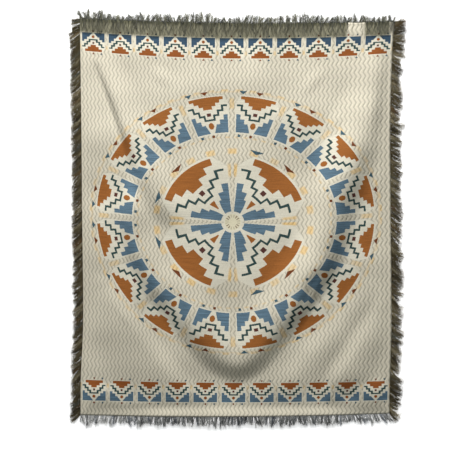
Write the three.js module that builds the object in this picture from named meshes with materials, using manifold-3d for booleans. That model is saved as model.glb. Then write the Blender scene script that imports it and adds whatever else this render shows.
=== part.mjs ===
// A fringed woven blanket, lying face up on the ground with the soft ridges it was left with.
// Millimetres. X runs to the blanket's right, Y to its top, Z up from the ground.

import Module from 'manifold-3d';
import * as THREE from 'three';
import { mergeVertices } from 'three/addons/utils/BufferGeometryUtils.js';

// Driving dimensions: the flat cut of the cloth, and the cloth as a sheet of cells.
const CLOTH = { width: 1225, height: 1546, thickness: 2, columns: 36, rows: 44 };
const HALF_WIDTH = CLOTH.width / 2;
const HALF_HEIGHT = CLOTH.height / 2;

// The edges lie flat on the ground for this far in, and the ridges reach full height further in.
const EDGE_FLAT = 55;
const EDGE_BLEND = 110;

// How the flat cut lies on the ground. Each row is one weft line of the cloth, at height v of the flat cut:
// where its left end, middle and right end lie.
const WEFT_LINES = [
  { v: 773, leftX: -610, middleX: -17, rightX: 618, leftY: 778, middleY: 760, rightY: 766 },
  { v: 640, leftX: -608, middleX: -17, rightX: 610, leftY: 654, middleY: 622, rightY: 643 },
  { v: 340, leftX: -604, middleX: -15, rightX: 602, leftY: 360, middleY: 324, rightY: 352 },
  { v: 0, leftX: -601, middleX: -13, rightX: 604, leftY: 20, middleY: -16, rightY: 18 },
  { v: -420, leftX: -597, middleX: -12, rightX: 607, leftY: -406, middleY: -440, rightY: -408 },
  { v: -640, leftX: -606, middleX: -10, rightX: 601, leftY: -630, middleY: -643, rightY: -635 },
  { v: -773, leftX: -607, middleX: -10, rightX: 599, leftY: -769, middleY: -775, rightY: -763 },
];

// The ridges. Each row of a crest is one section: its place, its height, and how far its gentle inner side
// and its steeper outer side reach. The outer side is to the left of the way the rows run.
const RIDGES = {
  swag: [
    { x: 590, y: 655, height: 5, inner: 110, outer: 60 },
    { x: 548, y: 500, height: 11, inner: 130, outer: 80 },
    { x: 500, y: 365, height: 19, inner: 150, outer: 110 },
    { x: 400, y: 125, height: 28, inner: 150, outer: 120 },
    { x: 352, y: -100, height: 28, inner: 140, outer: 105 },
    { x: 250, y: -288, height: 26, inner: 150, outer: 90 },
    { x: 125, y: -455, height: 23, inner: 160, outer: 95 },
    { x: 10, y: -560, height: 22, inner: 170, outer: 90 },
    { x: -108, y: -490, height: 22, inner: 160, outer: 90 },
    { x: -210, y: -366, height: 21, inner: 150, outer: 85 },
    { x: -312, y: -242, height: 20, inner: 140, outer: 80 },
    { x: -385, y: -100, height: 22, inner: 120, outer: 70 },
    { x: -402, y: 55, height: 16, inner: 90, outer: 60 },
    { x: -385, y: 170, height: 3, inner: 60, outer: 50 },
  ],
  leftCorner: [
    { x: -225, y: -20, height: 2, inner: 70, outer: 60 },
    { x: -290, y: 65, height: 10, inner: 100, outer: 80 },
    { x: -365, y: 190, height: 14, inner: 120, outer: 60 },
    { x: -435, y: 345, height: 14, inner: 120, outer: 32 },
    { x: -490, y: 490, height: 12, inner: 110, outer: 22 },
    { x: -540, y: 620, height: 3, inner: 80, outer: 24 },
  ],
  leftSkirt: [
    { x: -150, y: -700, height: 2, inner: 60, outer: 70 },
    { x: -228, y: -655, height: 8, inner: 75, outer: 120 },
    { x: -316, y: -566, height: 12, inner: 85, outer: 170 },
    { x: -402, y: -450, height: 12, inner: 85, outer: 170 },
    { x: -475, y: -345, height: 8, inner: 80, outer: 130 },
    { x: -515, y: -270, height: 2, inner: 60, outer: 80 },
  ],
  rightSkirt: [
    { x: 500, y: -270, height: 2, inner: 60, outer: 60 },
    { x: 450, y: -368, height: 7, inner: 75, outer: 90 },
    { x: 366, y: -478, height: 10, inner: 85, outer: 100 },
    { x: 270, y: -580, height: 10, inner: 85, outer: 100 },
    { x: 180, y: -660, height: 5, inner: 70, outer: 80 },
  ],
  rightCorner: [
    { x: 560, y: -360, height: 2, inner: 50, outer: 70 },
    { x: 505, y: -470, height: 9, inner: 70, outer: 110 },
    { x: 430, y: -590, height: 11, inner: 75, outer: 120 },
    { x: 375, y: -670, height: 4, inner: 60, outer: 80 },
  ],
};
const CREST_STEPS = 6;

// The fringe. Each strip of yarn roots lies a little way off the cloth's edge, and its locks are fused to it.
const GAP = 0.3;
const STRIP = { width: 6, thickness: 2 };
const LOCK = { thickness: 1.8, bite: 3, steps: 2 };
const TIP_THINNING = 0.4;

// One row for each fringe. sweep is the angle of its locks from straight out of the edge, towards the end of
// the edge, at each share of its length, and spread is how far single locks stray from it. rootWidth and
// tipWidth are a lock's.
const FRINGES = {
  fringe_left: {
    edge: 'left', count: 72, length: 46, rootWidth: 15, tipWidth: 5, spread: 3,
    sweep: [{ at: 0, angle: 36 }, { at: 0.1, angle: 48 }, { at: 1, angle: 50 }],
  },
  fringe_right: {
    edge: 'right', count: 72, length: 50, rootWidth: 15, tipWidth: 6, spread: 6,
    sweep: [{ at: 0, angle: -24 }, { at: 0.04, angle: 4 }, { at: 0.12, angle: 32 }, { at: 1, angle: 38 }],
  },
  fringe_bottom: {
    edge: 'bottom', count: 62, length: 40, rootWidth: 15, tipWidth: 8, spread: 6,
    sweep: [{ at: 0, angle: -4 }, { at: 0.85, angle: 2 }, { at: 1, angle: 28 }],
  },
  fringe_top: {
    edge: 'top', count: 64, length: 24, rootWidth: 13, tipWidth: 6, spread: 12,
    sweep: [{ at: 0, angle: -14 }, { at: 0.1, angle: 6 }, { at: 1, angle: 8 }],
  },
};

// How unevenly the locks are set and cut, as a share of their pitch and of their length.
const PITCH_SPREAD = 0.16;
const LENGTH_SPREAD = 0.24;

// Every second lock of the top fringe is folded back over the face: how far out of the edge and how high
// above the ground each of its points is.
const FOLDED_BACK = [
  { out: 3.3, up: 0 },
  { out: 9, up: 0.2 },
  { out: 12.5, up: 3.4 },
  { out: 9.5, up: 6.9 },
  { out: 0, up: 7.6 },
  { out: -22, up: 6.2 },
  { out: -50, up: 5.6 },
];

// In one stretch none is folded back, and at its middle and near the left corner a few long ones stand out.
const BARE_STRETCH = { from: 0.86, to: 0.91 };
const LONG_STRETCHES = [{ from: 0.01, to: 0.09, length: 40 }, { from: 0.87, to: 0.9, length: 44 }];

const COLOURS = { cloth: 0xe2d8c6, fringe_left: 0x50483c, fringe_right: 0x50483c, fringe_bottom: 0x64646a,
  fringe_top: 0x4e4a40 };

// A repeatable number from 0 to 1 for the lock at this place, so that no two lie alike.
function stray(index, salt) {
  const raw = Math.sin(index * 12.9898 + salt * 78.233) * 43758.5453;
  return raw - Math.floor(raw);
}

// A smooth curve through rows of numbers: the value of one column at a share of the way from row index to the
// next. knot gives each row's place along the curve.
function between(rows, column, index, share, knot = (n) => n) {
  const slope = (n) => {
    const [before, after] = [Math.max(n - 1, 0), Math.min(n + 1, rows.length - 1)];
    return (rows[after][column] - rows[before][column]) / (knot(after) - knot(before));
  };
  const span = knot(index + 1) - knot(index);
  const s2 = share * share;
  const s3 = s2 * share;
  return (2 * s3 - 3 * s2 + 1) * rows[index][column] + (s3 - 2 * s2 + share) * span * slope(index)
    + (3 * s2 - 2 * s3) * rows[index + 1][column] + (s3 - s2) * span * slope(index + 1);
}

// Where the point u across and v up the flat cut lies on the ground.
function layDown(u, v) {
  let index = 0;
  while (index < WEFT_LINES.length - 2 && v < WEFT_LINES[index + 1].v) index += 1;
  const knot = (n) => -WEFT_LINES[n].v;
  const share = (-v - knot(index)) / (knot(index + 1) - knot(index));
  const line = (column) => between(WEFT_LINES, column, index, share, knot);
  const across = u / HALF_WIDTH;
  const bend = (left, middle, right) =>
    middle + (right - left) / 2 * across + ((right + left) / 2 - middle) * across * across;
  return {
    x: bend(line('leftX'), line('middleX'), line('rightX')),
    y: bend(line('leftY'), line('middleY'), line('rightY')),
  };
}

// A crest as many short sections along a smooth curve.
function smoothCrest(rows) {
  const sections = [];
  for (let index = 0; index < rows.length - 1; index += 1) {
    for (let step = 0; step < CREST_STEPS; step += 1) {
      const share = step / CREST_STEPS;
      const section = {};
      for (const column of Object.keys(rows[0])) section[column] = between(rows, column, index, share);
      sections.push(section);
    }
  }
  sections.push(rows[rows.length - 1]);
  return sections;
}

const crests = Object.values(RIDGES).map(smoothCrest);

// The height that one ridge gives a place: a smooth hump about the nearest point of its crest.
function ridgeHeight(crest, x, y) {
  let best = { distance: Infinity };
  for (let n = 0; n < crest.length - 1; n += 1) {
    const [a, b] = [crest[n], crest[n + 1]];
    const [alongX, alongY] = [b.x - a.x, b.y - a.y];
    const length2 = alongX * alongX + alongY * alongY;
    const share = THREE.MathUtils.clamp(((x - a.x) * alongX + (y - a.y) * alongY) / length2, 0, 1);
    const [offX, offY] = [x - a.x - share * alongX, y - a.y - share * alongY];
    const distance = Math.hypot(offX, offY);
    if (distance >= best.distance) continue;
    const outside = alongY * offX - alongX * offY < 0;
    const mix = (column) => THREE.MathUtils.lerp(a[column], b[column], share);
    best = { distance, height: mix('height'), reach: mix(outside ? 'outer' : 'inner') };
  }
  if (best.distance >= best.reach) return 0;
  return best.height * (1 + Math.cos(Math.PI * best.distance / best.reach)) / 2;
}

// How high the underside of the cloth is above the ground, at (u, v) of the flat cut.
function lift(u, v) {
  const inFromEdge = Math.min(HALF_WIDTH - Math.abs(u), HALF_HEIGHT - Math.abs(v));
  const share = THREE.MathUtils.smoothstep(inFromEdge, EDGE_FLAT, EDGE_FLAT + EDGE_BLEND);
  if (share === 0) return 0;
  const { x, y } = layDown(u, v);
  return share * crests.reduce((sum, crest) => sum + ridgeHeight(crest, x, y), 0);
}

// A closed mesh between two grids of points: the upper and the lower face, and the rim that joins them. Both
// faces of a cell bend along the same diagonal, the one nearer the true height at the cell's middle.
function closedSheet(columns, rows, upper, lower) {
  const points = [];
  const faces = [];
  const count = (columns + 1) * (rows + 1);
  for (const place of [upper, lower]) {
    for (let row = 0; row <= rows; row += 1) {
      for (let column = 0; column <= columns; column += 1) points.push(...place(column, row));
    }
  }
  const at = (column, row, side) => side * count + row * (columns + 1) + column;
  const height = (point) => points[point * 3 + 2];
  const quad = (a, b, c, d) => faces.push(a, b, c, a, c, d);
  for (let row = 0; row < rows; row += 1) {
    for (let column = 0; column < columns; column += 1) {
      const corners = [[0, 0], [1, 0], [1, 1], [0, 1]].map(([right, up]) => at(column + right, row + up, 0));
      const middle = upper(column + 0.5, row + 0.5)[2];
      const misses = [0, 1].map((n) => Math.abs((height(corners[n]) + height(corners[n + 2])) / 2 - middle));
      if (misses[1] < misses[0]) corners.push(corners.shift());
      const [a, b, c, d] = corners;
      quad(a, b, c, d);
      quad(a + count, d + count, c + count, b + count);
    }
  }
  for (let column = 0; column < columns; column += 1) {
    quad(at(column, 0, 1), at(column + 1, 0, 1), at(column + 1, 0, 0), at(column, 0, 0));
    quad(at(column, rows, 0), at(column + 1, rows, 0), at(column + 1, rows, 1), at(column, rows, 1));
  }
  for (let row = 0; row < rows; row += 1) {
    quad(at(0, row, 0), at(0, row + 1, 0), at(0, row + 1, 1), at(0, row, 1));
    quad(at(columns, row, 1), at(columns, row + 1, 1), at(columns, row + 1, 0), at(columns, row, 0));
  }
  return meshData(points, faces);
}

function meshData(points, faces) {
  const geometry = new THREE.BufferGeometry();
  geometry.setAttribute('position', new THREE.Float32BufferAttribute(points, 3));
  geometry.setIndex(faces);
  return geometry;
}

function clothGeometry() {
  const place = (rise) => (column, row) => {
    const u = (column / CLOTH.columns * 2 - 1) * HALF_WIDTH;
    const v = (row / CLOTH.rows * 2 - 1) * HALF_HEIGHT;
    const { x, y } = layDown(u, v);
    return [x, y, lift(u, v) + rise];
  };
  return closedSheet(CLOTH.columns, CLOTH.rows, place(CLOTH.thickness), place(0));
}

// The upper and lower edge run to the right, the others down. outSide is 1 where the way out of the cloth is
// on the left of the way along the edge, and -1 where it is on the right.
const TOP_LEFT = [-HALF_WIDTH, HALF_HEIGHT];
const TOP_RIGHT = [HALF_WIDTH, HALF_HEIGHT];
const BOTTOM_LEFT = [-HALF_WIDTH, -HALF_HEIGHT];
const BOTTOM_RIGHT = [HALF_WIDTH, -HALF_HEIGHT];
const EDGES = {
  top: { from: TOP_LEFT, to: TOP_RIGHT, outSide: 1, cells: CLOTH.columns },
  right: { from: TOP_RIGHT, to: BOTTOM_RIGHT, outSide: 1, cells: CLOTH.rows },
  bottom: { from: BOTTOM_LEFT, to: BOTTOM_RIGHT, outSide: -1, cells: CLOTH.columns },
  left: { from: TOP_LEFT, to: BOTTOM_LEFT, outSide: -1, cells: CLOTH.rows },
};
const EDGE_PROBE = 0.002;

function leftOf(heading) {
  return new THREE.Vector3(-heading.y, heading.x, 0).normalize();
}

// A place on an edge, with the way along the edge and the way out of the cloth there.
function edgePlace(name, share) {
  const { from, to, outSide } = EDGES[name];
  const point = (s) => {
    const place = layDown(THREE.MathUtils.lerp(from[0], to[0], s), THREE.MathUtils.lerp(from[1], to[1], s));
    return new THREE.Vector3(place.x, place.y, 0);
  };
  const along = point(Math.min(share + EDGE_PROBE, 1)).sub(point(Math.max(share - EDGE_PROBE, 0))).normalize();
  return { point: point(share), along, out: leftOf(along).multiplyScalar(outSide) };
}

function stripGeometry(edge) {
  const { cells, outSide } = EDGES[edge];
  const place = (rise) => (column, row) => {
    const { point, out } = edgePlace(edge, column / cells);
    const at = point.addScaledVector(out, GAP + row * STRIP.width);
    return [at.x, at.y, rise];
  };
  const backwards = (rise) => (column, row) => place(rise)(cells - column, row);
  const laid = outSide > 0 ? place : backwards;
  return closedSheet(cells, 1, laid(STRIP.thickness), laid(0));
}

// A three-sided lock along a path: each section has two base corners on the path, and one above it. rootSide is
// the level way across its root, along the strip, and tipSide the way across the rest of it.
function lockGeometry(path, rootSide, tipSide, fringe) {
  const points = [];
  const faces = [];
  path.forEach((centre, n) => {
    const share = n / (path.length - 1);
    const side = n === 0 ? rootSide : tipSide;
    const ahead = path[Math.min(n + 1, path.length - 1)].clone().sub(path[Math.max(n - 1, 0)]).normalize();
    const normal = ahead.cross(side).normalize();
    const halfWidth = THREE.MathUtils.lerp(fringe.rootWidth, fringe.tipWidth, share) / 2;
    const height = LOCK.thickness * (1 - TIP_THINNING * share);
    points.push(...centre.clone().addScaledVector(side, -halfWidth).toArray());
    points.push(...centre.clone().addScaledVector(side, halfWidth).toArray());
    points.push(...centre.clone().addScaledVector(normal, height).toArray());
  });
  for (let n = 0; n < path.length - 1; n += 1) {
    for (let corner = 0; corner < 3; corner += 1) {
      const [a, b] = [n * 3 + corner, n * 3 + (corner + 1) % 3];
      faces.push(a, b, b + 3, a, b + 3, a + 3);
    }
  }
  const last = (path.length - 1) * 3;
  faces.push(0, 2, 1, last, last + 1, last + 2);
  return meshData(points, faces);
}

// A lock that lies on the ground, straight out of its root and then bending a little further the same way.
function groundPath(place, length, angle, curl) {
  const path = [];
  const start = place.point.clone().addScaledVector(place.out, GAP + STRIP.width - LOCK.bite);
  for (let n = 0; n <= LOCK.steps; n += 1) {
    const share = n / LOCK.steps;
    const turn = THREE.MathUtils.degToRad(angle + curl * share);
    const heading = place.out.clone().multiplyScalar(Math.cos(turn)).addScaledVector(place.along, Math.sin(turn));
    path.push(start.clone().addScaledVector(heading, length * share));
  }
  return path;
}

function foldedPath(place, angle) {
  const drift = Math.tan(THREE.MathUtils.degToRad(angle));
  return FOLDED_BACK.map(({ out, up }) => place.point.clone()
    .addScaledVector(place.out, out)
    .addScaledVector(place.along, drift * Math.max(-out, 0))
    .setZ(up));
}

function sweepAt(rows, share) {
  const next = rows.findIndex((row) => row.at >= share);
  if (next <= 0) return rows[Math.max(next, 0)].angle;
  const [a, b] = [rows[next - 1], rows[next]];
  return THREE.MathUtils.lerp(a.angle, b.angle, (share - a.at) / (b.at - a.at));
}

// The library works on closed meshes whose points are merged.
const wasm = await Module();
wasm.setup();

function solidOf(geometry) {
  const merged = mergeVertices(geometry, 1e-4);
  return new wasm.Manifold(new wasm.Mesh({
    numProp: 3,
    vertProperties: new Float32Array(merged.attributes.position.array),
    triVerts: new Uint32Array(merged.index.array),
  }));
}

function geometryOf(solid) {
  const { vertProperties, triVerts, numProp } = solid.getMesh();
  const points = [];
  for (let n = 0; n < vertProperties.length; n += numProp) points.push(...vertProperties.slice(n, n + 3));
  return meshData(points, Array.from(triVerts));
}

// A number from -1 to 1 that changes a little from one lock to the next, and now and then more.
function waver(index, salt) {
  return 0.6 * Math.sin(index * 0.55 + salt) + 0.8 * (stray(index, salt) - 0.5);
}

function lockPath(fringe, index, share, salt) {
  const place = edgePlace(fringe.edge, share);
  const wander = waver(index, salt + 1) * fringe.spread;
  const inStretch = ({ from, to }) => share > from && share < to;
  const onTop = fringe.edge === 'top';
  if (onTop && index % 2 === 1 && !inStretch(BARE_STRETCH)) {
    return { path: foldedPath(place, wander / 2), place, heading: place.out };
  }
  const longer = onTop && LONG_STRETCHES.find(inStretch);
  const length = (longer ? longer.length : fringe.length) * (1 + LENGTH_SPREAD * (stray(index, salt + 2) - 0.5));
  const path = groundPath(place, length, sweepAt(fringe.sweep, share) + wander, wander / 2);
  return { path, place, heading: path[path.length - 1].clone().sub(path[0]) };
}

function fringeGeometry(fringe, salt) {
  let solid = solidOf(stripGeometry(fringe.edge));
  for (let index = 0; index < fringe.count; index += 1) {
    const share = (index + 0.5 + PITCH_SPREAD * (stray(index, salt) - 0.5)) / fringe.count;
    const { path, place, heading } = lockPath(fringe, index, share, salt);
    solid = solid.add(solidOf(lockGeometry(path, leftOf(place.out), leftOf(heading), fringe)));
  }
  return geometryOf(solid);
}

function piece(name, geometry) {
  const flat = geometry.index ? geometry : mergeVertices(geometry);
  flat.computeVertexNormals();
  const material = new THREE.MeshStandardMaterial({ color: COLOURS[name], roughness: 0.95, metalness: 0 });
  const mesh = new THREE.Mesh(flat, material);
  mesh.name = name;
  return mesh;
}

const blanket = new THREE.Group();
blanket.name = 'blanket';
blanket.add(piece('cloth', clothGeometry()));
Object.entries(FRINGES).forEach(([name, fringe], n) => blanket.add(piece(name, fringeGeometry(fringe, n * 10))));

// The origin is on the ground, under the middle of the whole blanket.
const middle = new THREE.Box3().setFromObject(blanket).getCenter(new THREE.Vector3());
blanket.position.set(-middle.x, -middle.y, 0);

export default blanket;
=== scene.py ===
"""A fringed woven blanket, laid face up on the ground in soft ridges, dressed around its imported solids.

All sizes are in metres, and only the rows of the ridges are in millimetres. X is to the blanket's right, Y to
its top and Z up from the ground. A place on the cloth is (u, v) on its flat cut, from the middle of the
design, or (x, y) where it lies on the ground.
"""

import logging
import math
from dataclasses import dataclass, field
from enum import Enum
from typing import Any, NamedTuple

import bpy
import numpy as np
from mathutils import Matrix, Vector

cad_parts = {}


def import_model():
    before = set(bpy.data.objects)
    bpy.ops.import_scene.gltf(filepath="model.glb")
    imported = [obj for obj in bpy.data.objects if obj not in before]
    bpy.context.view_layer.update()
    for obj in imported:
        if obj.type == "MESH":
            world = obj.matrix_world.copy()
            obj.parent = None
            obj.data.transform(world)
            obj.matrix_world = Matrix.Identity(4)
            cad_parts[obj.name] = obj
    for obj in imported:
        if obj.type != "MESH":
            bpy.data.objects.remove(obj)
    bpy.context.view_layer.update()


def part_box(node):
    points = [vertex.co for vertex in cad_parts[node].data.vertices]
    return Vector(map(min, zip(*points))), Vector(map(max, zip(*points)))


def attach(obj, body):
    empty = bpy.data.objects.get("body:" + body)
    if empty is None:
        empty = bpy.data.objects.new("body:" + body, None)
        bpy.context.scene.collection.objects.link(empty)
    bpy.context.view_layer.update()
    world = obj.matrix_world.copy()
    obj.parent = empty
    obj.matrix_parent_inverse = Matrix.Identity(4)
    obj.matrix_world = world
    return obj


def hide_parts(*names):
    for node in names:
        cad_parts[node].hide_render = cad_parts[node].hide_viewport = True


log = logging.getLogger("blanket")

ROOT = "root"

Array = np.ndarray
Tree = bpy.types.NodeTree
Pair = tuple[float, float]
Pairs = tuple[Pair, ...]
Point = tuple[float, float, float]
Colour = tuple[float, float, float, float]


# How the cloth lies


class WeftLine(NamedTuple):
    """Where the left end, the middle and the right end of one weft line of the flat cut lie."""

    v: float
    left_x: float
    middle_x: float
    right_x: float
    left_y: float
    middle_y: float
    right_y: float


class Section(NamedTuple):
    """One section of a ridge: its place, its height, and the reach of its two sides.

    The outer side is to the left of the way in which the sections run. A height below 0 is a trough.
    """

    x: float
    y: float
    height: float
    inner: float
    outer: float


def crest(*rows: tuple[int, int, int, int, int]) -> tuple[Section, ...]:
    """Makes the sections of one ridge from rows in millimetres."""
    return tuple(Section(*(value / 1000 for value in row)) for row in rows)


WEFT_LINES = (
    WeftLine(0.773, -0.610, -0.017, 0.618, 0.778, 0.760, 0.766),
    WeftLine(0.640, -0.608, -0.017, 0.610, 0.654, 0.622, 0.643),
    WeftLine(0.340, -0.604, -0.015, 0.602, 0.360, 0.324, 0.352),
    WeftLine(0.000, -0.601, -0.013, 0.604, 0.020, -0.016, 0.018),
    WeftLine(-0.420, -0.597, -0.012, 0.607, -0.406, -0.440, -0.408),
    WeftLine(-0.640, -0.606, -0.010, 0.601, -0.630, -0.643, -0.635),
    WeftLine(-0.773, -0.607, -0.010, 0.599, -0.769, -0.775, -0.763),
)

# The main ridges: the large swag, the crease from the upper left corner, and at the bottom one fold on the
# left and two on the right. The solids have them too, but level them further in from the edges.
RIDGES = (
    crest(
        (590, 655, 5, 110, 60), (548, 500, 11, 130, 80), (500, 365, 19, 150, 110), (400, 125, 28, 150, 120),
        (352, -100, 28, 140, 105), (250, -288, 26, 150, 90), (125, -455, 23, 160, 95),
        (10, -560, 22, 170, 90), (-108, -490, 22, 160, 90), (-210, -366, 21, 150, 85),
        (-312, -242, 20, 140, 80), (-385, -100, 22, 120, 70), (-402, 55, 16, 90, 60), (-385, 170, 3, 60, 50),
    ),
    crest(
        (-225, -20, 2, 70, 60), (-290, 65, 10, 100, 80), (-365, 190, 14, 120, 60), (-435, 345, 14, 120, 32),
        (-490, 490, 12, 110, 22), (-540, 620, 3, 80, 24),
    ),
    crest(
        (-150, -700, 2, 60, 70), (-228, -655, 8, 75, 120), (-316, -566, 12, 85, 170),
        (-402, -450, 12, 85, 170), (-475, -345, 8, 80, 130), (-515, -270, 2, 60, 80),
    ),
    crest(
        (500, -270, 2, 60, 60), (450, -368, 7, 75, 90), (366, -478, 10, 85, 100), (270, -580, 10, 85, 100),
        (180, -660, 5, 70, 80),
    ),
    crest(
        (560, -360, 2, 50, 70), (505, -470, 9, 70, 110), (430, -590, 11, 75, 120), (375, -670, 4, 60, 80),
    ),
)

# Finer creases, on the cloth alone.
CREASES = (
    crest(
        (-530, 580, -1, 30, 30), (-480, 440, -3, 34, 24), (-440, 320, -3, 36, 26), (-405, 230, -1, 30, 30),
    ),
    crest(
        (360, 590, 0, 30, 30), (300, 530, 2, 45, 35), (250, 470, 0, 30, 30),
    ),
    crest(
        (420, 420, 0, 30, 30), (385, 375, 2, 45, 35), (350, 335, 0, 30, 30),
    ),
    crest(
        (-335, 590, 0, 30, 30), (-290, 550, 2, 40, 45), (-240, 510, 0, 30, 30),
    ),
    crest(
        (335, -190, 0, 30, 20), (300, -250, -4, 45, 26), (262, -320, -3, 40, 26), (225, -380, 0, 30, 20),
    ),
    # These three lower the main ridges in places.
    crest(
        (230, -320, 0, 150, 90), (125, -455, -3, 160, 95), (10, -560, -5, 170, 90), (-108, -490, -6, 160, 90),
        (-210, -366, -5, 150, 85), (-312, -242, -4, 140, 80), (-385, -100, -6, 120, 70),
        (-400, 20, 0, 90, 60),
    ),
    crest(
        (480, -320, 0, 70, 90), (366, -478, -2, 85, 100), (270, -580, -5, 85, 100), (180, -660, -3, 70, 80),
    ),
    crest(
        (-228, -655, -2, 75, 120), (-316, -566, -4, 85, 170), (-402, -450, -2, 85, 170),
    ),
    # These three raise the swag's right arm and the two bottom corners.
    crest(
        (450, 230, 0, 120, 80), (400, 110, 5, 130, 90), (372, -10, 4, 130, 90), (340, -130, 0, 120, 80),
    ),
    crest(
        (-440, -690, 0, 40, 50), (-520, -680, 4, 50, 70), (-590, -665, 4, 50, 80),
    ),
    crest(
        (590, -665, 4, 50, 80), (530, -675, 4, 50, 70), (450, -690, 0, 40, 50),
    ),
)

# The hem at the bottom, which lifts a little towards its edge, from right to left.
HEM = crest(
    (500, -769, 0, 36, 6), (300, -774, 8, 45, 6), (0, -778, 11, 52, 6), (-300, -776, 8, 45, 6),
    (-520, -773, 0, 36, 6),
)

# Broad, low unevenness of a cloth that was put down by hand: how long each wave is, which way it runs in
# degrees, where it starts as a share of its length, and half its height.
WAVES = (
    (0.410, 62.0, 0.15, 0.0010),
    (0.290, 118.0, 0.55, 0.0008),
    (0.205, 20.0, 0.35, 0.0006),
    (0.150, 96.0, 0.80, 0.0004),
)


def between(table: Array, index: Array, share: Array, knots: Array) -> Array:
    """Reads a smooth curve through the rows of a table.

    Args:
        table: One row for each knot, one column for each value.
        index: The row before each place.
        share: How far each place is from that row to the next, from 0 to 1.
        knots: The place of each row along the curve.

    Returns:
        One row of values for each place.
    """
    last = len(table) - 1
    before = np.clip(np.arange(last + 1) - 1, 0, last)
    after = np.clip(np.arange(last + 1) + 1, 0, last)
    slopes = (table[after] - table[before]) / (knots[after] - knots[before])[:, None]
    span = (knots[index + 1] - knots[index])[:, None]
    s = share[:, None]
    s2, s3 = s**2, s**3
    return (
        (2 * s3 - 3 * s2 + 1) * table[index]
        + (s3 - 2 * s2 + s) * span * slopes[index]
        + (3 * s2 - 2 * s3) * table[index + 1]
        + (s3 - s2) * span * slopes[index + 1]
    )


def smoothstep(value: Array, low: float, high: float) -> Array:
    """Rises smoothly from 0 at low to 1 at high."""
    share = np.clip((value - low) / (high - low), 0, 1)
    return share**2 * (3 - 2 * share)


@dataclass
class Lay:
    """How the flat cut of the cloth lies on the ground: where each place is, and how high."""

    width: float = 1.225
    height: float = 1.546
    thickness: float = 0.002
    edge_flat: float = 0.004
    edge_blend: float = 0.070
    crest_steps: int = 6
    wave_margin: float = 0.050
    shift: Array = field(default_factory=lambda: np.zeros(2))

    def on_ground(self, u: Array, v: Array) -> tuple[Array, Array]:
        """Lays places of the flat cut on the ground.

        Args:
            u: How far right of the middle each place is on the flat cut.
            v: How far above the middle.

        Returns:
            The x and the y of each place.
        """
        rows = np.array(WEFT_LINES)
        knots = -rows[:, 0]
        index = np.clip(np.searchsorted(knots, -v, side="right") - 1, 0, len(rows) - 2)
        share = (-v - knots[index]) / (knots[index + 1] - knots[index])
        line = between(rows, index, share, knots)
        across = u / (self.width / 2)

        def bend(left: Array, middle: Array, right: Array) -> Array:
            """Goes from the left end through the middle to the right end."""
            return middle + (right - left) / 2 * across + ((right + left) / 2 - middle) * across**2

        x = bend(line[:, 1], line[:, 2], line[:, 3])
        y = bend(line[:, 4], line[:, 5], line[:, 6])
        return x + self.shift[0], y + self.shift[1]

    def ridge(self, sections: tuple[Section, ...], x: Array, y: Array) -> Array:
        """Works out the height that one ridge gives each place, a smooth hump about its crest.

        Args:
            sections: The ridge.
            x: How far right each place is on the ground.
            y: How far up.

        Returns:
            The heights.
        """
        table = np.array(sections)
        steps = np.arange((len(table) - 1) * self.crest_steps)
        index = steps // self.crest_steps
        share = (steps % self.crest_steps) / self.crest_steps
        line = np.vstack([between(table, index, share, np.arange(len(table), dtype=float)), table[-1:]])
        nearest = np.full(x.shape, np.inf)
        height = np.zeros(x.shape)
        for a, b in zip(line[:-1], line[1:]):
            along = b[:2] - a[:2]
            place = np.clip(((x - a[0]) * along[0] + (y - a[1]) * along[1]) / (along @ along), 0, 1)
            off_x = x - a[0] - place * along[0]
            off_y = y - a[1] - place * along[1]
            distance = np.hypot(off_x, off_y)
            here = Section(*(a[:, None] + (b - a)[:, None] * place.ravel()))
            outside = along[1] * off_x - along[0] * off_y < 0
            reach = np.where(outside, here.outer.reshape(x.shape), here.inner.reshape(x.shape))
            hump = (1 + np.cos(np.pi * np.minimum(distance / reach, 1))) / 2
            closer = distance < nearest
            height = np.where(closer, here.height.reshape(x.shape) * hump, height)
            nearest = np.where(closer, distance, nearest)
        return height

    def lift(self, u: Array, v: Array) -> Array:
        """Works out how high above the ground the underside of the cloth is.

        Args:
            u: How far right of the middle each place is on the flat cut.
            v: How far above the middle.

        Returns:
            The height at each place.
        """
        x, y = self.on_ground(u, v)
        x, y = x - self.shift[0], y - self.shift[1]
        inset = np.minimum(self.width / 2 - np.abs(u), self.height / 2 - np.abs(v))
        main = sum(self.ridge(ridge, x, y) for ridge in RIDGES)
        fine = sum(self.ridge(crease, x, y) for crease in CREASES)
        for length, heading, start, rise in WAVES:
            turn = math.radians(heading)
            way = (x * math.cos(turn) + y * math.sin(turn)) / length + start
            fine = fine + rise * (1 + np.sin(2 * np.pi * way))
        height = main * smoothstep(inset, self.edge_flat, self.edge_flat + self.edge_blend)
        height = height + fine * smoothstep(inset, 0.0, self.wave_margin) + self.ridge(HEM, x, y)
        return np.maximum(height, 0)


# Shader trees


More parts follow.
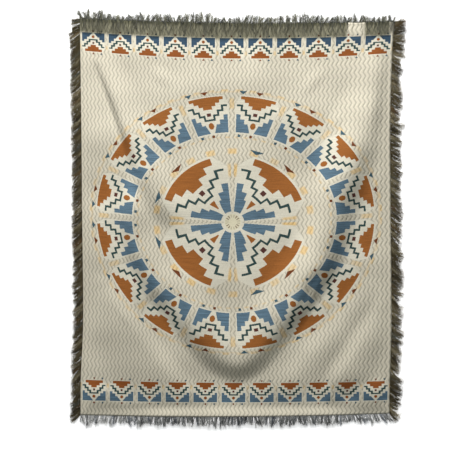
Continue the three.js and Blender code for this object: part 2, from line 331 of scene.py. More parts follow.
class Signal:
    """What an output socket carries over a surface, as something that can be reckoned with."""

    def __init__(self, socket: bpy.types.NodeSocket) -> None:
        """Holds the socket."""
        self.socket = socket
        self.tree: Tree = socket.id_data

    def reckon(self, operation: str, *others: Any, kind: str = "ShaderNodeMath") -> "Signal":
        """Adds a node that reckons with this value.

        Args:
            operation: The node's operation.
            others: The values after this one.
            kind: The node's type.

        Returns:
            The result.
        """
        node = self.tree.nodes.new(kind)
        node.operation = operation
        for number, value in enumerate((self, *others)):
            feed(node.inputs[number], value)
        return Signal(node.outputs[0])

    def __add__(self, other: "Signal | float") -> "Signal":
        """Adds."""
        return self.reckon("ADD", other)

    def __sub__(self, other: "Signal | float") -> "Signal":
        """Subtracts."""
        return self.reckon("SUBTRACT", other)

    def __mul__(self, other: "Signal | float") -> "Signal":
        """Multiplies, or keeps what is in both masks."""
        return self.reckon("MULTIPLY", other)

    def __truediv__(self, other: "Signal | float") -> "Signal":
        """Divides."""
        return self.reckon("DIVIDE", other)

    def __lt__(self, other: "Signal | float") -> "Signal":
        """Marks where this is the smaller."""
        return self.reckon("LESS_THAN", other)

    def __gt__(self, other: "Signal | float") -> "Signal":
        """Marks where this is the larger."""
        return self.reckon("GREATER_THAN", other)

    def __or__(self, other: "Signal | float") -> "Signal":
        """Joins two masks, or keeps the larger value."""
        return self.reckon("MAXIMUM", other)

    def __abs__(self) -> "Signal":
        """Drops the sign."""
        return self.reckon("ABSOLUTE")

    def outside(self) -> "Signal":
        """Turns a mask inside out."""
        return self.reckon("MULTIPLY_ADD", -1.0, 1.0)

    def fraction(self) -> "Signal":
        """Keeps the part after the point, from 0 to 1."""
        return self.reckon("FRACT")

    def within(self, low: float, high: float) -> "Signal":
        """Marks where this is between two values."""
        return (self > low) * (self < high)

    def fade(self, low: float, high: float) -> "Signal":
        """Goes smoothly from 0 to 1.

        Args:
            low: The value that gives 0.
            high: The value that gives 1, which may be the smaller one.

        Returns:
            The result.
        """
        node = self.tree.nodes.new("ShaderNodeMapRange")
        node.interpolation_type = "SMOOTHSTEP"
        feed_all(node, Value=self, From_Min=low, From_Max=high)
        return Signal(node.outputs["Result"])

    def stairs(self, start: float, steps: Pairs) -> "Signal":
        """Makes a value that jumps.

        Args:
            start: The value before the first jump.
            steps: Where each jump is, and the value after it.

        Returns:
            The value.
        """
        result: Signal | float = start
        last = start
        for place, value in steps:
            result = (self > place).reckon("MULTIPLY_ADD", value - last, result)
            last = value
        return result

    def parts(self) -> tuple["Signal", "Signal"]:
        """Reads the first two numbers of a vector.

        Returns:
            The two numbers.
        """
        node = self.tree.nodes.new("ShaderNodeSeparateXYZ")
        feed(node.inputs[0], self)
        return Signal(node.outputs[0]), Signal(node.outputs[1])

    def shaded(self, light: "Signal") -> "Signal":
        """Darkens this colour by a value."""
        grey = add_node(self.tree, "ShaderNodeCombineColor", Red=light, Green=light, Blue=light)
        return mixed(self.tree, 1.0, self, grey, "MULTIPLY")


def feed(socket: bpy.types.NodeSocket, value: Any) -> None:
    """Gives an input socket a value, or links the signal that carries it.

    Args:
        socket: The input.
        value: A signal, a number, or a vector or colour.
    """
    if isinstance(value, Signal):
        socket.id_data.links.new(value.socket, socket)
    else:
        socket.default_value = value


def feed_all(node: bpy.types.Node, **inputs: Any) -> None:
    """Feeds a node's inputs by name, with _ for a space."""
    for name, value in inputs.items():
        feed(node.inputs[name.replace("_", " ")], value)


def add_node(tree: Tree, kind: str, /, output: str | int = 0, **inputs: Any) -> Signal:
    """Adds a node and feeds its inputs.

    Args:
        tree: The tree that it goes into.
        kind: The node's type.
        output: The output that the result is read from.
        inputs: The inputs by name, with _ for a space.

    Returns:
        The output.
    """
    node = tree.nodes.new(kind)
    feed_all(node, **inputs)
    return Signal(node.outputs[output])


def mixed(tree: Tree, mask: Signal | float, below: Any, above: Any, blend: str = "MIX") -> Signal:
    """Lays one colour over another.

    Args:
        tree: The tree that the node goes into.
        mask: Where the upper colour shows, and how strongly.
        below: The lower colour.
        above: The upper colour.
        blend: The Mix node's blend type.

    Returns:
        The colour.
    """
    node = tree.nodes.new("ShaderNodeMix")
    node.data_type = "RGBA"
    node.blend_type = blend
    for number, value in ((0, mask), (6, below), (7, above)):
        feed(node.inputs[number], value)
    return Signal(node.outputs[2])


def noise(place: Signal, scale: float, detail: float = 2.0) -> Signal:
    """Adds a Noise node and gives its value, about 0.5 on average."""
    return add_node(place.tree, "ShaderNodeTexNoise", "Fac", Vector=place, Scale=scale, Detail=detail)


def uv_place(tree: Tree, name: str) -> Signal:
    """Reads the place on one of a piece's UV maps.

    Args:
        tree: The tree that the node goes into.
        name: The UV map.

    Returns:
        The place.
    """
    node = tree.nodes.new("ShaderNodeUVMap")
    node.uv_map = name
    return Signal(node.outputs[0])


def new_material(name: str) -> tuple[bpy.types.Material, bpy.types.Node]:
    """Makes a material.

    Args:
        name: The material's name.

    Returns:
        The material, and its Principled shader.
    """
    material = bpy.data.materials.new(name)
    material.use_nodes = True
    return material, material.node_tree.nodes["Principled BSDF"]


class SocketKind(Enum):
    """What a socket of a node group carries."""

    VALUE = "NodeSocketFloat"
    VECTOR = "NodeSocketVector"


class Group:
    """A shader node group with named inputs and outputs."""

    def __init__(self, name: str, inputs: dict[str, SocketKind], outputs: tuple[str, ...]) -> None:
        """Makes the empty group.

        Args:
            name: The group's name.
            inputs: The inputs and what they carry.
            outputs: The outputs, which all carry a value.
        """
        self.tree = bpy.data.node_groups.new(name, "ShaderNodeTree")
        for title, kind in inputs.items():
            self.tree.interface.new_socket(title, in_out="INPUT", socket_type=kind.value)
        for title in outputs:
            self.tree.interface.new_socket(title, in_out="OUTPUT", socket_type=SocketKind.VALUE.value)
        self.source = self.tree.nodes.new("NodeGroupInput")
        self.sink = self.tree.nodes.new("NodeGroupOutput")

    def given(self, name: str) -> Signal:
        """Reads an input inside the group."""
        return Signal(self.source.outputs[name])

    def give(self, **outputs: Signal) -> None:
        """Sets outputs inside the group."""
        feed_all(self.sink, **outputs)

    def placed(self, tree: Tree, **inputs: Any) -> dict[str, Signal]:
        """Puts the group into a tree.

        Args:
            tree: The tree.
            inputs: The inputs by name.

        Returns:
            The outputs by name.
        """
        node = tree.nodes.new("ShaderNodeGroup")
        node.node_tree = self.tree
        feed_all(node, **inputs)
        return {socket.name: Signal(socket) for socket in node.outputs}


# The woven design

MOTIF_YARNS = ("Rust", "Blue", "Green", "Maroon", "Peach", "Plain")


@dataclass(frozen=True)
class MotifChart:
    """The stepped motif of the design as it is charted for one band.

    Along is from the motif's middle line and depth from its blue edge to its rust edge, both in steps. The
    pitch is the motif's width in steps. A pair of sizes is along and then depth, and a pair for the small
    marks is for those outside the blue edge and then for those outside the rust edge.
    """

    pitch: float = 9.34
    depth: float = 8.1
    blue_edge: float = 3.92
    tent_slope: float = 1.48
    tent_gap: float = 0.25
    blue_depths: Pairs = ((2.1, 2.96), (3.1, 3.9))
    blue_start: float = 1.96
    line_start: float = 3.0
    line_levels: Pairs = ((1.25, 4.0), (2.1, 5.05), (2.95, 6.1))
    line_end: float = 3.85
    line_half: float = 0.3
    pyramid: Pairs = ((5.2, 0.9), (6.1, 1.92), (7.1, 2.95), (8.1, 0.0))
    tip_depth: float = 1.7
    tip_size: Pair = (0.52, 0.60)
    tip_taper: float = 0.0
    dot_depth: float = 4.4
    dot_size: Pair = (0.34, 0.4)
    near_marks: bool = True
    mark_size: Pair = (0.44, 0.42)
    mark_out: Pair = (0.75, 0.8)
    mark_aside: Pair = (2.9, 2.8)
    near_mark_share: Pair = (0.55, 0.8)
    wedge_point: float = 1.1
    mark_green: float = 0.55
    mark_maroon: float = 0.7
    peach: Pair = (5.3, 6.9)
    peach_gap: float = 0.0
    peach_half: float = 0.42
    peach_soft: float = 0.06
    peach_fade: Pair = (0.4, 0.3)
    peach_strength: float = 0.62
    halo: float = 0.3
    halo_bend: float = 6.4

    def group(self, name: str) -> Group:
        """Builds the masks of the motif.

        Args:
            name: The group's name.

        Returns:
            A group that turns a place in steps into masks of each yarn.
        """
        group = Group(name, {"Along": SocketKind.VALUE, "Depth": SocketKind.VALUE}, MOTIF_YARNS)
        along, depth = group.given("Along"), group.given("Depth")
        aside = abs(along)

        def patch(x: float, y: float, half_x: float, half_y: float) -> Signal:
            """Marks a small rectangle of the chart."""
            return (abs(along - x) < half_x) * (abs(depth - y) < half_y)

        # The blue blocks, on both sides of the white tent.
        (low_aside, low_depth), (high_aside, high_depth) = self.blue_depths
        tent = ((aside - self.tent_gap) * self.tent_slope).reckon("MINIMUM", self.blue_start)
        columns = aside.stairs(0.0, ((low_aside, 1.0),))
        taller = aside.stairs(low_depth - self.blue_start, ((high_aside, high_depth - self.blue_start),))
        blue = (depth > 0.0) * (depth < tent + columns * taller) * (aside < self.blue_edge)

        # The stepped line under them.
        half = self.line_half
        near_levels = tuple((place, level - half) for place, level in self.line_levels)
        far_levels = tuple((place, level + half) for place, level in self.line_levels)
        near = (aside - half).stairs(self.line_start - half, near_levels)
        far = (aside + half).stairs(self.line_start + half, far_levels)
        green = (depth > near) * (depth < far) * (aside < self.line_end)

        # The rust pyramid, and the dots on the motif's middle line.
        rust = aside < depth.stairs(0.0, self.pyramid)
        tip_x, tip_y = self.tip_size
        down = (depth - self.tip_depth) / tip_y
        if self.tip_taper:
            tip_half = (down * self.tip_taper + 1.0) * (tip_x / (1.0 + self.tip_taper))
            tip = (aside < tip_half) * (abs(down) < 1.0)
        else:
            tip = ((aside / tip_x).reckon("POWER", 2.0) + down.reckon("POWER", 2.0)) < 1.0
        maroon = patch(0.0, self.dot_depth, *self.dot_size)

        # The small marks outside both edges, on the middle line and to the side.
        mark_x, mark_y = self.mark_size
        near_out, far_out = self.mark_out
        near_aside, far_aside = self.mark_aside
        small = (depth - (self.depth + far_out)) / mark_y
        in_depth = abs(small) < 1.0
        wedge_half = (small + self.wedge_point) * (mark_x / 2)
        wedge = in_depth * (aside < wedge_half)
        side_wedge = in_depth * (abs(along - far_aside) < wedge_half)
        if self.near_marks:
            near_half = (mark_x * self.near_mark_share[0], mark_y * self.near_mark_share[1])
            wedge = wedge | patch(0.0, -near_out, *near_half)
            side_wedge = side_wedge | patch(near_aside, -near_out, *near_half)

        # The peach bar between two motifs.
        off = abs(aside - self.pitch / 2)
        bar = off.fade(self.peach_half + self.peach_soft, self.peach_half - self.peach_soft)
        (top, bottom), (before, after) = self.peach, self.peach_fade
        peach = bar * (off > self.peach_gap) * self.peach_strength
        peach = peach * depth.fade(top - before, top + after) * depth.fade(bottom + before, bottom - after)

        # The ribs stop a little way off the motif, all around it.
        base = self.pyramid[-2][1]
        slant = (self.blue_edge - base) / (self.depth - self.halo_bend)
        narrowed = (depth - self.halo_bend).reckon("MAXIMUM", 0.0) * slant
        hull = (aside + narrowed) < self.blue_edge + self.halo
        group.give(
            Rust=rust | tip | wedge,
            Blue=blue | side_wedge,
            Green=green | side_wedge * self.mark_green,
            Maroon=maroon | wedge * self.mark_maroon,
            Peach=peach,
            Plain=hull * depth.within(-self.halo, self.depth + self.halo),
        )
        return group


BORDER_CHART = MotifChart()
RING_CHART = MotifChart(
    blue_edge=3.8,
    tent_gap=0.5,
    tent_slope=2.6,
    blue_start=1.98,
    blue_depths=((2.03, 3.0), (2.93, 4.1)),
    line_start=3.05,
    line_levels=((1.0, 4.05), (1.9, 5.05), (2.8, 6.1)),
    line_end=3.75,
    line_half=0.21,
    pyramid=((5.4, 0.86), (6.07, 1.59), (6.75, 2.37), (7.43, 3.06), (8.1, 0.0)),
    tip_depth=1.68,
    tip_size=(0.62, 0.75),
    dot_depth=4.25,
    dot_size=(0.42, 0.36),
    mark_size=(0.62, 0.36),
    peach=(5.4, 7.6),
)
CORE_CHART = MotifChart(
    blue_edge=4.03,
    tent_gap=0.64,
    tent_slope=2.3,
    blue_depths=((2.05, 3.0), (3.05, 4.13)),
    line_start=3.05,
    line_levels=((0.98, 4.05), (1.88, 5.05), (2.86, 6.12)),
    line_end=3.75,
    line_half=0.16,
    pyramid=((5.05, 0.85), (6.05, 1.88), (7.05, 2.78), (8.05, 0.0)),
    tip_depth=1.75,
    tip_size=(0.66, 0.64),
    tip_taper=0.55,
    dot_depth=4.2,
    dot_size=(0.36, 0.34),
    near_marks=False,
    mark_size=(0.54, 0.27),
    peach=(5.1, 6.8),
    peach_gap=0.15,
    peach_half=0.48,
    peach_strength=1.0,
)


@dataclass(frozen=True)
class Design:
    """Where the bands of the woven design are on the flat cut, and how the wheel is drawn out across."""

    border_pitch: float = 1.225 / 11
    border_edge: float = 0.716
    border_step: float = 0.00937
    squash: float = 0.905
    ring_sectors: int = 16
    ring_inside: Pair = (0.404, 0.350)
    ring_outside: Pair = (0.550, 0.493)
    core_sectors: int = 4
    core_start: float = 0.0458
    core_step: float = 0.0298
    hub_radius: float = 0.037
    hub_disc: float = 0.86
    hub_dashes: int = 16
    dash_share: Pair = (0.28, 0.72)
    dash_radii: Pair = (0.017, 0.029)
    dash_strengths: Pair = (0.3, 0.45)
    inner_lobes: int = 22
    outer_lobes: int = 64
    patch_scale: float = 14.0
    patch_fade: Pair = (0.35, 0.62)
    patch_strengths: Pair = (0.55, 0.45)
    thread: float = 0.0013

    def group(self) -> Group:
        """Builds the masks of the design.

        Returns:
            A group that turns a place on the flat cut into masks of each yarn.
        """
        group = Group("Woven design", {"Flat": SocketKind.VECTOR}, (*MOTIF_YARNS, "Straw"))
        tree, flat = group.tree, group.given("Flat")
        u, v = flat.reckon("SNAP", (self.thread,) * 3, kind="ShaderNodeVectorMath").parts()
        u, v = u + self.thread / 2, v + self.thread / 2
        pitch = BORDER_CHART.pitch

        height = abs(v) / self.squash
        radius = (u * u + height * height).reckon("SQRT")
        turn = height.reckon("ARCTAN2", u) / (2 * math.pi)

        def ellipse(half_width: float, half_height: float) -> Signal:
            """Grows outwards from the hub, and is 1 on an ellipse."""
            x, y = u / half_width, v / half_height
            return (x * x + y * y).reckon("SQRT")

        past_inside = (ellipse(*self.ring_inside) - 1.0) * (self.ring_inside[0] / self.ring_outside[0])
        short_of_outside = ellipse(*self.ring_outside) - 1.0
        ring_depth = past_inside / (past_inside - short_of_outside) * RING_CHART.depth

        def around(sectors: int) -> Signal:
            """Gives the place across a sector of the wheel, in steps."""
            return ((turn * float(sectors)).fraction() - 0.5) * pitch

        bands = (
            BORDER_CHART.group("Border motif").placed(
                tree,
                Along=((u / self.border_pitch + 0.5).fraction() - 0.5) * pitch,
                Depth=(abs(v) - self.border_edge) / -self.border_step,
            ),
            RING_CHART.group("Ring motif").placed(tree, Along=around(self.ring_sectors), Depth=ring_depth),
            CORE_CHART.group("Core motif").placed(
                tree, Along=around(self.core_sectors), Depth=(radius - self.core_start) / self.core_step
            ),
        )
        border, ring, core = bands
        masks = {yarn: border[yarn] | ring[yarn] | core[yarn] for yarn in MOTIF_YARNS}

        # The hub: a straw disc with a pale rim and short dark dashes in pairs.
        flat_radius = (u * u + v * v).reckon("SQRT")
        hub = flat_radius < self.hub_radius
        masks["Straw"] = flat_radius < self.hub_radius * self.hub_disc
        dashes = (turn * float(self.hub_dashes)).fraction().within(*self.dash_share)
        dashes = dashes * flat_radius.within(*self.dash_radii)
        corners = (turn * 4.0).fraction().within(0.25, 0.75)
        least, more = self.dash_strengths
        masks["Maroon"] = masks["Maroon"] | dashes * (corners * more + least)
        masks["Blue"] = masks["Blue"] * hub.outside()
        masks["Plain"] = masks["Plain"] | hub

        # Faint warm patches inside and outside the ring, softer than the chart's own.
        inner = abs((turn * float(self.inner_lobes)).fraction() - 0.5).fade(0.26, 0.14)
        outer = abs((turn * float(self.outer_lobes)).fraction() - 0.5).fade(0.3, 0.2)

        def faint(off: Signal, middle: float, soft: Pair, strength: float) -> Signal:
            """Marks a soft line at a distance from the ring or the hub."""
            return abs(off - middle).fade(*soft) * strength

        patches = (
            faint(radius, 0.306, (0.016, 0.008), 0.8) * inner
            | faint(short_of_outside, 0.045, (0.012, 0.004), 0.62) * outer
            | faint(short_of_outside, 0.034, (0.010, 0.003), 0.34)
            | faint(past_inside, -0.040, (0.010, 0.003), 0.5) * outer
        )
        least, more = self.patch_strengths
        patchy = noise(flat, self.patch_scale).fade(*self.patch_fade)
        masks["Peach"] = (masks["Peach"] | patches) * (patchy * more + least)
        group.give(**masks)
        return group


@dataclass(frozen=True)
class Zigzag:
    """The zigzag ribs of the ground."""

    pitch: float = 0.0164
    widening: float = 2.29
    period: float = 0.0345
    swing: float = 0.0046
    wander: float = 0.006
    wander_scale: float = 9.0
    line: float = 0.17
    line_soft: Pair = (1.5, 0.45)
    rib_round: float = 0.32

    def group(self) -> Group:
        """Builds the ribs.

        Returns:
            A group that marks the lines between the ribs, and gives the height of the ribs.
        """
        group = Group("Zigzag ribs", {"Flat": SocketKind.VECTOR}, ("Line", "Height"))
        flat = group.given("Flat")
        u, v = flat.parts()
        swing = (v / (self.period / 2)).reckon("PINGPONG", 1.0) * (2 * self.swing) - self.swing
        wander = noise(flat, self.wander_scale) * self.wander - self.wander / 2
        phase = (u + swing + wander) / self.pitch - u * u * self.widening
        off = abs(phase.fraction() - 0.5)
        outer, inner = self.line_soft
        group.give(Line=off.fade(self.line * outer, self.line * inner), Height=off.fade(0.0, self.rib_round))
        return group


@dataclass(frozen=True)
class Grain:
    """The single threads: a fine relief, and a tone that differs from thread to thread."""

    fine_detail: float = 3.0
    broad_scale: float = 4.5

    def group(self) -> Group:
        """Builds the threads.

        Returns:
            A group that gives their height and tone, from how many there are across and up.
        """
        inputs = {"Place": SocketKind.VECTOR, "Across": SocketKind.VALUE, "Up": SocketKind.VALUE}
        group = Group("Thread grain", inputs, ("Height", "Tone"))
        place, across, up = (group.given(name) for name in inputs)
        stretch = add_node(group.tree, "ShaderNodeCombineXYZ", X=across, Y=up, Z=1.0)
        fine = noise(place.reckon("MULTIPLY", stretch, kind="ShaderNodeVectorMath"), 1.0, self.fine_detail)
        group.give(Height=fine, Tone=fine * 0.5 + noise(place, self.broad_scale) * 0.5)
        return group


class Yarns(NamedTuple):
    """The dyes of the blanket, as linear colours, and the tints of the painted shade at the top edge."""

    cream: Colour = (0.64, 0.585, 0.465, 1.0)
    ivory: Colour = (0.71, 0.67, 0.55, 1.0)
    rib_line: Colour = (0.47, 0.435, 0.342, 1.0)
    rust: Colour = (0.305, 0.094, 0.008, 1.0)
    blue: Colour = (0.087, 0.159, 0.222, 1.0)
    # Painted shade on the top border's blue under the folded yarn ends, and a deeper blue at both end
    # borders.
    navy_and_top_shade: Colour = (0.022, 0.050, 0.090, 1.0)
    russet: Colour = (0.190, 0.034, 0.008, 1.0)
    green: Colour = (0.010, 0.045, 0.046, 1.0)
    maroon: Colour = (0.075, 0.014, 0.010, 1.0)
    peach: Colour = (0.72, 0.46, 0.15, 1.0)
    straw: Colour = (0.66, 0.60, 0.37, 1.0)
    # Painted shade: the olive tint that darkens the top edge of the face.
    top_edge_shade: Colour = (0.15, 0.160, 0.100, 1.0)


YARNS = Yarns()
ROUGHNESS_RANGE = 0.1


@dataclass(frozen=True)
class TopEdgeShade:
    """A strip of painted shade along the top edge of the face, where the folded yarn ends lie over it, and
    the bare stretches in it.
    """

    wander: float = 0.020
    wander_scale: float = 26.0
    start: Pair = (0.700, 0.724)
    strength: float = 0.82
    edge: Pair = (0.752, 0.772)
    edge_strength: float = 0.12
    bare_start: Pair = (0.432, 0.446)
    bare_end: Pair = (0.512, 0.498)
    bare_corner: Pair = (0.590, 0.604)
    bare_strength: float = 0.9

    def mask(self, place: Signal) -> Signal:
        """Marks the strip.

        Args:
            place: The place on the flat cut.

        Returns:
            How strongly the strip shows there.
        """
        across, up = place.parts()
        up = up + noise(place, self.wander_scale) * self.wander - self.wander / 2
        bare = across.fade(*self.bare_start) * across.fade(*self.bare_end) | across.fade(*self.bare_corner)
        strip = up.fade(*self.start) * self.strength + up.fade(*self.edge) * self.edge_strength
        return strip * (bare * self.bare_strength).outside()


class Side(Enum):
    """A side of the cloth, by the name of its finish."""

    FACE = "woven_face"
    BACK = "woven_back"


@dataclass(frozen=True)
class WovenFinish:
    """The cotton jacquard of the cloth, on its face or on its back, where the colours change places.

    A cover says how strongly a yarn hides what it lies over, a gap how much of the ribs the motifs keep out,
    and a light how bright the darkest place is and how much brighter the brightest one.
    """

    side: Side
    roughness: float = 0.92
    sheen: float = 0.05
    specular: float = 0.2
    rib_height: float = 0.0009
    thread_height: float = 0.0004
    ivory_cover: float = 0.7
    peach_cover: float = 0.85
    straw_cover: float = 0.5
    dye_cover: float = 0.97
    line_gap: float = 0.94
    rib_gap: float = 0.85
    end_borders: Pair = (0.55, 0.60)
    # The span of the painted shade on the top border's blue, and how strongly it and the deeper blue of both
    # end borders show.
    top_shade_span: Pair = (0.585, 0.690)
    navy_and_shade_covers: Pair = (0.62, 0.18)
    russet_cover: float = 0.42
    streak_scale: float = 260.0
    streak_fade: Pair = (0.42, 0.58)
    reverse_cream: float = 0.62
    reverse_cover: float = 0.85
    threads: Pair = (420.0, 160.0)
    thread_fade: Pair = (0.25, 0.75)
    thread_light: Pair = (0.85, 0.3)
    wefts: Pair = (14.0, 760.0)
    weft_fade: Pair = (0.36, 0.64)
    weft_light: Pair = (0.66, 0.62)
    weft_rust: float = 0.6
    weft_plain: float = 0.28

    def face(self, place: Signal, yarn: dict[str, Signal], line: Signal) -> Signal:
        """Colours the face.

        Args:
            place: The place on the flat cut.
            yarn: The masks of the yarns.
            line: The lines between the ribs.

        Returns:
            The colour.
        """
        tree = place.tree
        colour = mixed(tree, yarn["Plain"] * self.ivory_cover, YARNS.cream, YARNS.ivory)
        colour = mixed(tree, line * (yarn["Plain"] * self.line_gap).outside(), colour, YARNS.rib_line)
        _, up = place.parts()
        border = abs(up).fade(*self.end_borders)
        top, ends = self.navy_and_shade_covers
        layers = (
            (yarn["Peach"] * self.peach_cover, YARNS.peach),
            (yarn["Straw"] * self.straw_cover, YARNS.straw),
            (yarn["Blue"] * self.dye_cover, YARNS.blue),
            (yarn["Rust"] * self.dye_cover, YARNS.rust),
            (yarn["Green"] * self.dye_cover, YARNS.green),
            (yarn["Maroon"] * self.dye_cover, YARNS.maroon),
            # Painted shade: the top border's blue darkened towards the top edge; both end borders are also a
            # little deeper blue.
            (yarn["Blue"] * (up.fade(*self.top_shade_span) * top + border * ends), YARNS.navy_and_top_shade),
            (yarn["Rust"] * border * self.russet_cover, YARNS.russet),
        )
        for mask, dye in layers:
            colour = mixed(tree, mask, colour, dye)
        # Painted shade: the top edge of the face darkened with an olive tint under the folded yarn ends.
        return mixed(tree, TopEdgeShade().mask(place), colour, mixed(tree, 1.0, colour, YARNS.top_edge_shade, "MULTIPLY"))

    def reverse(self, place: Signal, yarn: dict[str, Signal]) -> Signal:
        """Colours the back.

        Args:
            place: The place on the flat cut.
            yarn: The masks of the yarns.

        Returns:
            The colour.
        """
        tree = place.tree
        woven = yarn["Blue"] | yarn["Rust"] | yarn["Green"] | yarn["Maroon"]
        streak = noise(place, self.streak_scale, 1.0).fade(*self.streak_fade)
        ground = mixed(tree, self.reverse_cream, mixed(tree, streak, YARNS.blue, YARNS.rust), YARNS.cream)
        return mixed(tree, woven * self.reverse_cover, ground, YARNS.ivory)

    def build(self, design: Group, ribs: Group, grain: Group) -> bpy.types.Material:
        """Makes the material.

        Args:
            design: The group of the woven design.
            ribs: The group of the zigzag ribs.
            grain: The group of single threads.

        Returns:
            The material.
        """
        material, shader = new_material(self.side.value)
        tree = material.node_tree
        place = uv_place(tree, "FlatCut")
        yarn = design.placed(tree, Flat=place)
        rib = ribs.placed(tree, Flat=place)
        threads, wefts = (
            grain.placed(tree, Place=place, Across=across, Up=up) for across, up in (self.threads, self.wefts)
        )
        match self.side:
            case Side.FACE:
                colour = self.face(place, yarn, rib["Line"])
            case Side.BACK:
                colour = self.reverse(place, yarn)

        def lit(value: Signal, fade: Pair, light: Pair) -> Signal:
            """Turns a value into a light."""
            return value.fade(*fade) * light[1] + light[0]

        dyed = yarn["Blue"] | yarn["Rust"] * self.weft_rust | yarn["Plain"] * self.weft_plain
        streaked = colour.shaded(lit(wefts["Height"], self.weft_fade, self.weft_light))
        colour = mixed(tree, dyed, colour, streaked)
        rib_height = rib["Height"] * (yarn["Plain"] * self.rib_gap).outside()
        coarse = add_node(tree, "ShaderNodeBump", Distance=self.rib_height, Height=rib_height)
        feed_all(
            shader,
            Base_Color=colour.shaded(lit(threads["Tone"], self.thread_fade, self.thread_light)),
            Roughness=threads["Tone"] * ROUGHNESS_RANGE + (self.roughness - ROUGHNESS_RANGE / 2),
            Sheen_Weight=self.sheen,
            Specular_IOR_Level=self.specular,
            Normal=add_node(
                tree, "ShaderNodeBump", Distance=self.thread_height, Height=threads["Height"], Normal=coarse
            ),
        )
        return material


@dataclass(frozen=True)
class FringeFinish:
    """Loose cotton yarn in mixed dyes: the pick of a strand from which each dye is used, and the dye."""

    name: str
    dyes: tuple[tuple[float, Colour], ...]
    roughness: float = 0.9
    sheen: float = 0.05
    specular: float = 0.15
    twist_height: float = 0.0003
    twist: Pair = (30.0, 600.0)
    twist_light: Pair = (0.75, 0.5)
    root_length: float = 0.25
    root_darkening: Pair = (0.75, 0.25)

    def build(self, grain: Group) -> bpy.types.Material:
        """Makes the material.

        Args:
            grain: The group of single threads.

        Returns:
            The material.
        """
        material, shader = new_material(self.name)
        tree = material.node_tree
        strand = uv_place(tree, "Strand")
        along, pick = strand.parts()
        (_, colour), *others = self.dyes
        for start, dye in others:
            colour = mixed(tree, pick > start, colour, dye)
        threads = grain.placed(tree, Place=strand, Across=self.twist[0], Up=self.twist[1])
        # Each strand is darker towards its root.
        least, more = self.root_darkening
        darker_at_roots = along.fade(0.0, self.root_length) * more + least
        least, more = self.twist_light
        feed_all(
            shader,
            Base_Color=colour.shaded((threads["Tone"] * more + least) * darker_at_roots),
            Roughness=threads["Tone"] * ROUGHNESS_RANGE + (self.roughness - ROUGHNESS_RANGE / 2),
            Sheen_Weight=self.sheen,
            Specular_IOR_Level=self.specular,
            Normal=add_node(tree, "ShaderNodeBump", Distance=self.twist_height, Height=threads["Height"]),
        )
        return material


WEFT_ENDS = FringeFinish(
    "weft_yarn_ends",
    (
        (0.0, (0.092, 0.070, 0.034, 1.0)),
        (0.34, (0.145, 0.118, 0.063, 1.0)),
        (0.60, (0.042, 0.033, 0.018, 1.0)),
        (0.76, (0.310, 0.262, 0.160, 1.0)),
        (0.90, (0.095, 0.100, 0.082, 1.0)),
        (0.96, (0.140, 0.080, 0.032, 1.0)),
    ),
)
WARP_ENDS = FringeFinish(
    "warp_yarn_ends",
    (
        (0.0, (0.360, 0.362, 0.356, 1.0)),
        (0.28, (0.580, 0.580, 0.565, 1.0)),
        (0.50, (0.160, 0.162, 0.162, 1.0)),
        (0.70, (0.780, 0.775, 0.750, 1.0)),
        (0.88, (0.260, 0.280, 0.320, 1.0)),
    ),
)
TOP_ENDS = FringeFinish(
    "top_yarn_ends",
    (
        (0.0, (0.095, 0.094, 0.062, 1.0)),
        (0.34, (0.170, 0.166, 0.112, 1.0)),
        (0.62, (0.036, 0.037, 0.029, 1.0)),
        (0.82, (0.110, 0.114, 0.104, 1.0)),
    ),
)


# Pieces


def mesh_object(name: str, points: Array, faces: Array) -> bpy.types.Object:
    """Makes an object from arrays.

    Args:
        name: The object's name.
        points: One row for each point.
        faces: One row for each face, all with the same number of corners.

    Returns:
        The object, linked to the scene.
    """
    mesh = bpy.data.meshes.new(name)
    corners = faces.shape[1]
    mesh.vertices.add(len(points))
    mesh.vertices.foreach_set("co", np.asarray(points, np.float32).ravel())
    mesh.loops.add(faces.size)
    mesh.loops.foreach_set("vertex_index", faces.astype(np.int32).ravel())
    mesh.polygons.add(len(faces))
    mesh.polygons.foreach_set("loop_start", np.arange(len(faces), dtype=np.int32) * corners)
    mesh.update(calc_edges=True)
    mesh.shade_smooth()
    piece = bpy.data.objects.new(name, mesh)
    bpy.context.scene.collection.objects.link(piece)
    return piece


def add_uv_map(piece: bpy.types.Object, name: str, per_corner: Array) -> None:
    """Gives a piece a UV map, from one row for each corner of its faces."""
    layer = piece.data.uv_layers.new(name=name)
    layer.uv.foreach_set("vector", np.asarray(per_corner, np.float32).ravel())


